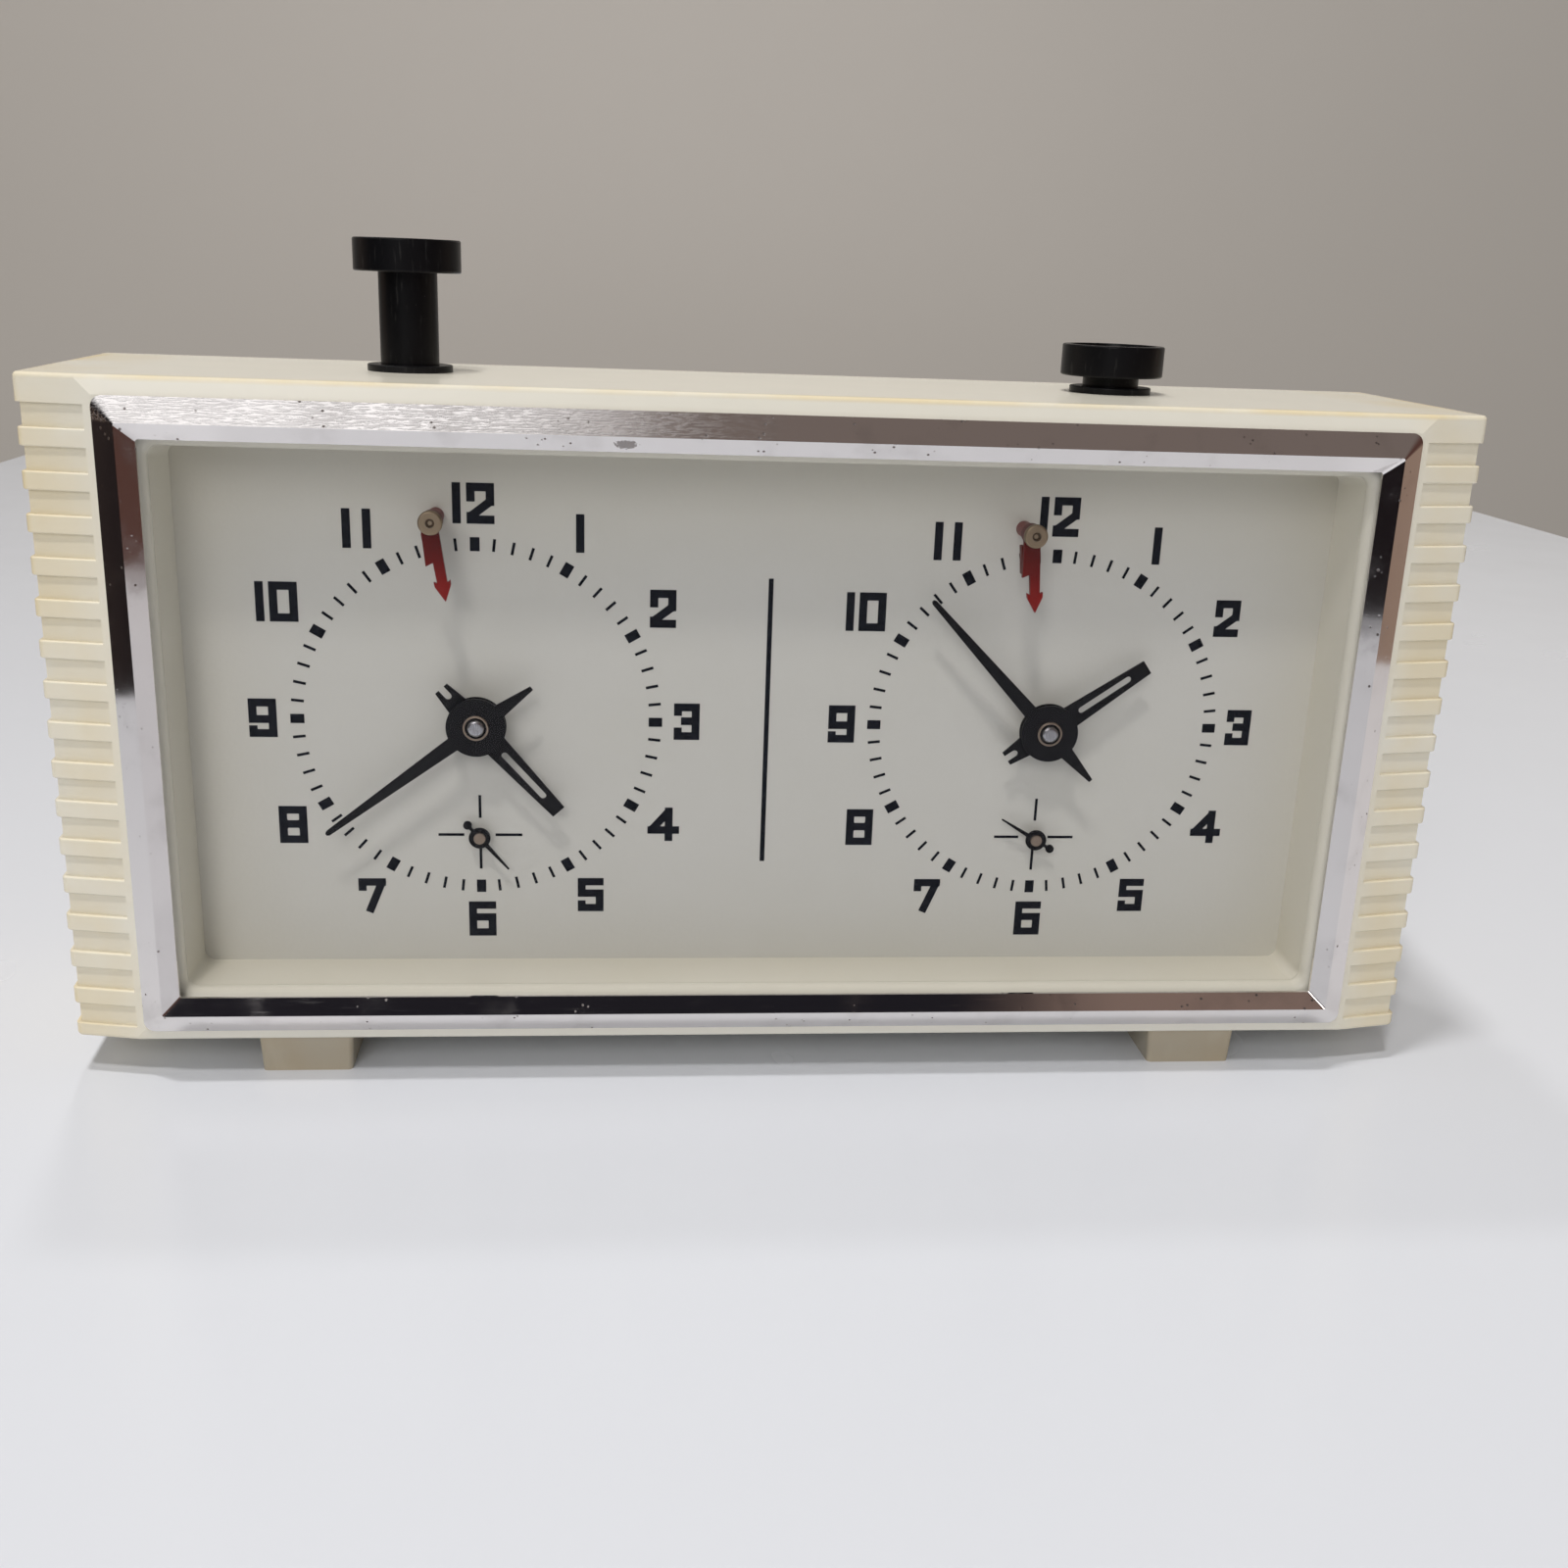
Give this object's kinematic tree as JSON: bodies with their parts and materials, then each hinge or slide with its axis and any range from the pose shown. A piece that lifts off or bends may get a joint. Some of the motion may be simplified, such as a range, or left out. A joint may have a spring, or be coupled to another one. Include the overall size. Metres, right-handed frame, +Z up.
{
  "type": "chess clock",
  "caption": "Twin-dial wind-up game clock: ribbed plastic case, plated bezel, flags, rocker-linked plungers and two balance movements with keys and setting knobs.",
  "frame": {"origin": "on the table under the middle of the clock", "axes": "+X to the right of someone facing the dials, +Y from the dials to the back, +Z up"},
  "size_m": [0.231, 0.0728, 0.1338],
  "materials": {
    "case_ivory": "glossy moulded ivory plastic",
    "cover_ivory": "glossy moulded ivory plastic",
    "bezel_chrome": "bright plated sheet metal",
    "clear_glass": "clear flat glass",
    "surround_cream": "satin moulded plastic",
    "dial_white": "smooth off-white lacquer",
    "plate_steel": "plain rolled steel",
    "train_brass": "stamped and turned brass",
    "spring_steel": "hardened steel",
    "collar_black": "black plastic",
    "plunger_black": "semi-gloss black plastic",
    "hand_black": "satin black",
    "flag_red": "translucent red plastic",
    "pin_brass": "turned brass",
    "key_nickel": "nickel plated steel",
    "knob_black": "black plastic"
  },
  "bodies": {
    "case": {"front_case": "case_ivory", "feet": "case_ivory", "back_cover": "cover_ivory", "bezel": "bezel_chrome", "glass": "clear_glass", "dial_surround": "surround_cream", "dial_plate": "dial_white", "mounting_plate": "plate_steel", "screws": "plate_steel", "plunger_collars": "collar_black", "rocker_pivot": "plate_steel", "flag_pins": "pin_brass", "movement_pillars": "train_brass", "ratchet_clicks": "spring_steel", "front_plate_left": "train_brass", "back_plate_left": "train_brass", "hairspring_left": "spring_steel", "front_plate_right": "train_brass", "back_plate_right": "train_brass", "hairspring_right": "spring_steel"},
    "rocker": {"rocker_lever": "plate_steel", "brake_springs": "spring_steel"},
    "plunger_left": {"plunger_left": "plunger_black"},
    "plunger_right": {"plunger_right": "plunger_black"},
    "left_minute": {"centre_arbor_left": "spring_steel", "minute_hand_left": "hand_black", "setting_knob_left": "knob_black"},
    "left_hour": {"hour_wheel_left": "train_brass", "hour_hand_left": "hand_black"},
    "left_motion": {"minute_wheel_left": "train_brass"},
    "left_fourth": {"fourth_wheel_left": "train_brass", "indicator_hand_left": "hand_black"},
    "left_third": {"third_wheel_left": "train_brass"},
    "left_centre": {"centre_wheel_left": "train_brass"},
    "left_barrel": {"barrel_left": "train_brass", "mainspring_left": "spring_steel"},
    "left_escape": {"escape_wheel_left": "train_brass"},
    "left_pallet": {"pallet_lever_left": "spring_steel"},
    "left_balance": {"balance_wheel_left": "train_brass"},
    "left_winding": {"winding_key_left": "key_nickel"},
    "left_regulator": {"regulator_left": "train_brass"},
    "left_flag": {"flag_left": "flag_red"},
    "right_minute": {"centre_arbor_right": "spring_steel", "minute_hand_right": "hand_black", "setting_knob_right": "knob_black"},
    "right_hour": {"hour_wheel_right": "train_brass", "hour_hand_right": "hand_black"},
    "right_motion": {"minute_wheel_right": "train_brass"},
    "right_fourth": {"fourth_wheel_right": "train_brass", "indicator_hand_right": "hand_black"},
    "right_third": {"third_wheel_right": "train_brass"},
    "right_centre": {"centre_wheel_right": "train_brass"},
    "right_barrel": {"barrel_right": "train_brass", "mainspring_right": "spring_steel"},
    "right_escape": {"escape_wheel_right": "train_brass"},
    "right_pallet": {"pallet_lever_right": "spring_steel"},
    "right_balance": {"balance_wheel_right": "train_brass"},
    "right_winding": {"winding_key_right": "key_nickel"},
    "right_regulator": {"regulator_right": "train_brass"},
    "right_flag": {"flag_right": "flag_red"}
  },
  "joints": [
    {"name": "rocker_tilt", "type": "hinge", "parent": "case", "child": "rocker", "pos_m": [0, -0.00275, 0.0956], "axis": [0, 1, 0], "range_deg": [-12.38, 0]},
    {"name": "left_plunger_slide", "type": "slide", "parent": "case", "child": "plunger_left", "axis": [0, 0, 1], "range_m": [-0.0128, 0]},
    {"name": "right_plunger_slide", "type": "slide", "parent": "case", "child": "plunger_right", "axis": [0, 0, 1], "range_m": [0, 0.0128]},
    {"name": "left_minute_turn", "type": "hinge", "parent": "case", "child": "left_minute", "pos_m": [-0.04767, -0.00465, 0.0583], "axis": [0, 1, 0], "continuous": true},
    {"name": "left_hour_turn", "type": "hinge", "parent": "case", "child": "left_hour", "pos_m": [-0.04767, -0.00465, 0.0583], "axis": [0, 1, 0], "continuous": true},
    {"name": "left_motion_turn", "type": "hinge", "parent": "case", "child": "left_motion", "pos_m": [-0.05265, -0.00465, 0.06541], "axis": [0, 1, 0], "continuous": true},
    {"name": "left_fourth_turn", "type": "hinge", "parent": "case", "child": "left_fourth", "pos_m": [-0.04767, -0.00465, 0.0383], "axis": [0, 1, 0], "continuous": true},
    {"name": "left_third_turn", "type": "hinge", "parent": "case", "child": "left_third", "pos_m": [-0.05933, -0.00465, 0.04682], "axis": [0, 1, 0], "continuous": true},
    {"name": "left_centre_turn", "type": "hinge", "parent": "case", "child": "left_centre", "pos_m": [-0.04767, -0.00465, 0.0583], "axis": [0, 1, 0], "continuous": true},
    {"name": "left_barrel_turn", "type": "hinge", "parent": "case", "child": "left_barrel", "pos_m": [-0.02593, -0.00465, 0.06621], "axis": [0, 1, 0], "continuous": true},
    {"name": "left_escape_turn", "type": "hinge", "parent": "case", "child": "left_escape", "pos_m": [-0.03877, -0.00465, 0.04344], "axis": [0, 1, 0], "continuous": true},
    {"name": "left_pallet_rock", "type": "hinge", "parent": "case", "child": "left_pallet", "pos_m": [-0.0306, -0.00465, 0.04272], "axis": [0, 1, 0], "range_deg": [-4, 4]},
    {"name": "left_balance_swing", "type": "hinge", "parent": "case", "child": "left_balance", "pos_m": [-0.02003, -0.00465, 0.04048], "axis": [0, 1, 0], "range_deg": [-135, 135], "stiffness_Nm_per_rad": 0.000012},
    {"name": "left_key_turn", "type": "hinge", "parent": "case", "child": "left_winding", "pos_m": [-0.02593, -0.00465, 0.06621], "axis": [0, 1, 0], "range_deg": [0, 2160]},
    {"name": "left_regulator_turn", "type": "hinge", "parent": "case", "child": "left_regulator", "pos_m": [-0.02003, 0.00535, 0.04048], "axis": [0, 1, 0], "range_deg": [-15, 15]},
    {"name": "left_flag_lift", "type": "hinge", "parent": "case", "child": "left_flag", "pos_m": [-0.05367, -0.02845, 0.092], "axis": [0, -1, 0], "range_deg": [-15, 75]},
    {"name": "right_minute_turn", "type": "hinge", "parent": "case", "child": "right_minute", "pos_m": [0.04767, -0.00465, 0.0583], "axis": [0, 1, 0], "continuous": true},
    {"name": "right_hour_turn", "type": "hinge", "parent": "case", "child": "right_hour", "pos_m": [0.04767, -0.00465, 0.0583], "axis": [0, 1, 0], "continuous": true},
    {"name": "right_motion_turn", "type": "hinge", "parent": "case", "child": "right_motion", "pos_m": [0.05265, -0.00465, 0.06541], "axis": [0, 1, 0], "continuous": true},
    {"name": "right_fourth_turn", "type": "hinge", "parent": "case", "child": "right_fourth", "pos_m": [0.04767, -0.00465, 0.0383], "axis": [0, 1, 0], "continuous": true},
    {"name": "right_third_turn", "type": "hinge", "parent": "case", "child": "right_third", "pos_m": [0.05933, -0.00465, 0.04682], "axis": [0, 1, 0], "continuous": true},
    {"name": "right_centre_turn", "type": "hinge", "parent": "case", "child": "right_centre", "pos_m": [0.04767, -0.00465, 0.0583], "axis": [0, 1, 0], "continuous": true},
    {"name": "right_barrel_turn", "type": "hinge", "parent": "case", "child": "right_barrel", "pos_m": [0.02593, -0.00465, 0.06621], "axis": [0, 1, 0], "continuous": true},
    {"name": "right_escape_turn", "type": "hinge", "parent": "case", "child": "right_escape", "pos_m": [0.03877, -0.00465, 0.04344], "axis": [0, 1, 0], "continuous": true},
    {"name": "right_pallet_rock", "type": "hinge", "parent": "case", "child": "right_pallet", "pos_m": [0.0306, -0.00465, 0.04272], "axis": [0, 1, 0], "range_deg": [-4, 4]},
    {"name": "right_balance_swing", "type": "hinge", "parent": "case", "child": "right_balance", "pos_m": [0.02003, -0.00465, 0.04048], "axis": [0, 1, 0], "range_deg": [-135, 135], "stiffness_Nm_per_rad": 0.000012},
    {"name": "right_key_turn", "type": "hinge", "parent": "case", "child": "right_winding", "pos_m": [0.02593, -0.00465, 0.06621], "axis": [0, 1, 0], "range_deg": [0, 2160]},
    {"name": "right_regulator_turn", "type": "hinge", "parent": "case", "child": "right_regulator", "pos_m": [0.02003, 0.00535, 0.04048], "axis": [0, 1, 0], "range_deg": [-15, 15]},
    {"name": "right_flag_lift", "type": "hinge", "parent": "case", "child": "right_flag", "pos_m": [0.04167, -0.02845, 0.092], "axis": [0, -1, 0], "range_deg": [-15, 75]}
  ],
  "couplings": [
    {"joint": "left_plunger_slide", "follows": "rocker_tilt", "m_per_rad": 0.0592},
    {"joint": "right_plunger_slide", "follows": "rocker_tilt", "m_per_rad": -0.0592},
    {"joint": "left_motion_turn", "follows": "left_minute_turn", "ratio": -0.33333},
    {"joint": "left_hour_turn", "follows": "left_minute_turn", "ratio": 0.083333},
    {"joint": "left_third_turn", "follows": "left_fourth_turn", "ratio": -0.125},
    {"joint": "left_centre_turn", "follows": "left_fourth_turn", "ratio": 0.016667},
    {"joint": "left_barrel_turn", "follows": "left_fourth_turn", "ratio": -0.0027778},
    {"joint": "left_escape_turn", "follows": "left_fourth_turn", "ratio": -7},
    {"joint": "right_motion_turn", "follows": "right_minute_turn", "ratio": -0.33333},
    {"joint": "right_hour_turn", "follows": "right_minute_turn", "ratio": 0.083333},
    {"joint": "right_third_turn", "follows": "right_fourth_turn", "ratio": -0.125},
    {"joint": "right_centre_turn", "follows": "right_fourth_turn", "ratio": 0.016667},
    {"joint": "right_barrel_turn", "follows": "right_fourth_turn", "ratio": -0.0027778},
    {"joint": "right_escape_turn", "follows": "right_fourth_turn", "ratio": -7}
  ]
}
